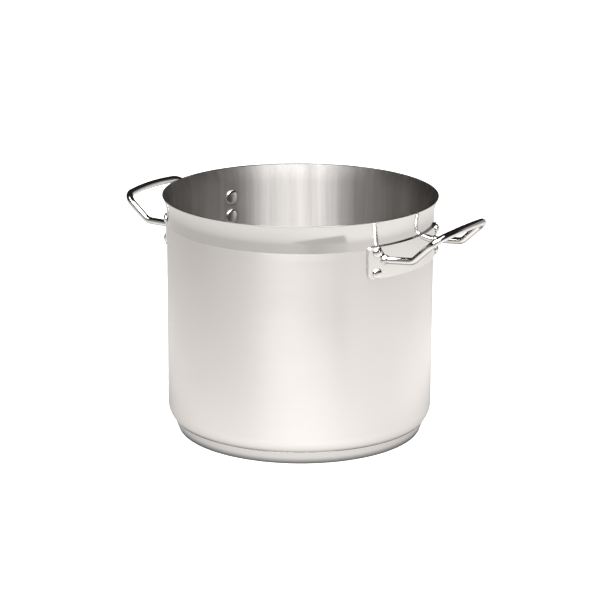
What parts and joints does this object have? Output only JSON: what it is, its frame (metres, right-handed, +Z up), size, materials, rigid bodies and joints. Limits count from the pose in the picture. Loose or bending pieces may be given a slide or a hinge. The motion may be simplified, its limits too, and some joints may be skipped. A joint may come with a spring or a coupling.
{
  "type": "stock pot",
  "caption": "Deep stainless stock pot with a flared rim, a capped aluminium base and two riveted bow handles on curved plates.",
  "frame": {"origin": "centre of the base where it stands on the floor, on the pot's axis", "axes": "+Z up along the pot's axis, +X out through the middle of one handle, -X through the other"},
  "size_m": [0.3969, 0.289, 0.2535],
  "materials": {
    "satin_steel": "satin, brushed round the wall, with a polished band under the rim",
    "polished_steel": "mirror polished stainless steel",
    "cap_steel": "polished with fine turning marks",
    "weld_steel": "dressed weld metal, slightly heat tinted",
    "core_aluminium": "matt, hidden inside the base"
  },
  "bodies": {
    "root": {"pot_body": "satin_steel", "core_disc": "core_aluminium", "base_cap": "cap_steel", "handle_plate_right": "polished_steel", "handle_plate_left": "polished_steel", "handle_rod_right": "polished_steel", "handle_rod_left": "polished_steel", "weld_bead_right_front": "weld_steel", "weld_bead_right_back": "weld_steel", "weld_bead_left_front": "weld_steel", "weld_bead_left_back": "weld_steel", "rivet_right_front_upper": "polished_steel", "rivet_right_front_lower": "polished_steel", "rivet_right_back_upper": "polished_steel", "rivet_right_back_lower": "polished_steel", "rivet_left_front_upper": "polished_steel", "rivet_left_front_lower": "polished_steel", "rivet_left_back_upper": "polished_steel", "rivet_left_back_lower": "polished_steel"}
  },
  "joints": []
}
